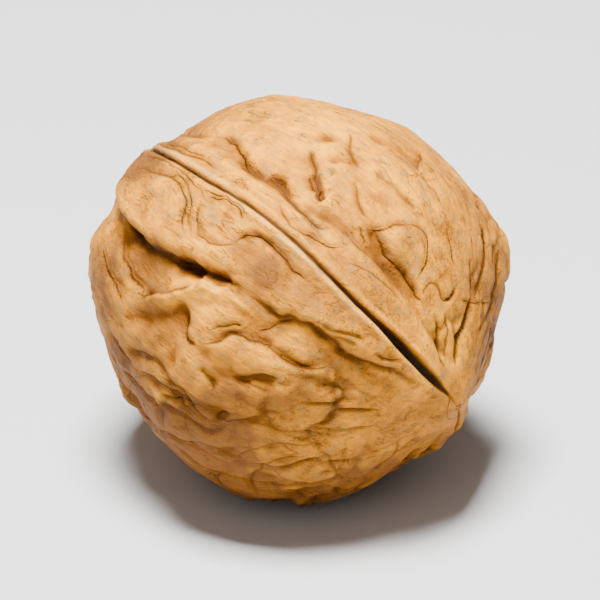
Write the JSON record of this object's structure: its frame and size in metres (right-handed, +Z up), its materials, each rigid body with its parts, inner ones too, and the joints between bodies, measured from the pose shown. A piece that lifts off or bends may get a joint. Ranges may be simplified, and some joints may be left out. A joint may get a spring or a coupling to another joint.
{
  "type": "walnut in its shell",
  "caption": "Whole walnut in its shell, lying on its side, with a raised seam band, creased and pitted shell and a small pointed tip.",
  "frame": {"origin": "middle of the small flat spot that the nut rests on", "axes": "+Z up from the flat spot, +X along the nut's length, seen from above, towards its tip, which dips 17.8 degrees below it"},
  "size_m": [0.0373, 0.035, 0.0344],
  "materials": {
    "shell": "satin"
  },
  "bodies": {
    "root": {"walnut": "shell"}
  },
  "joints": []
}
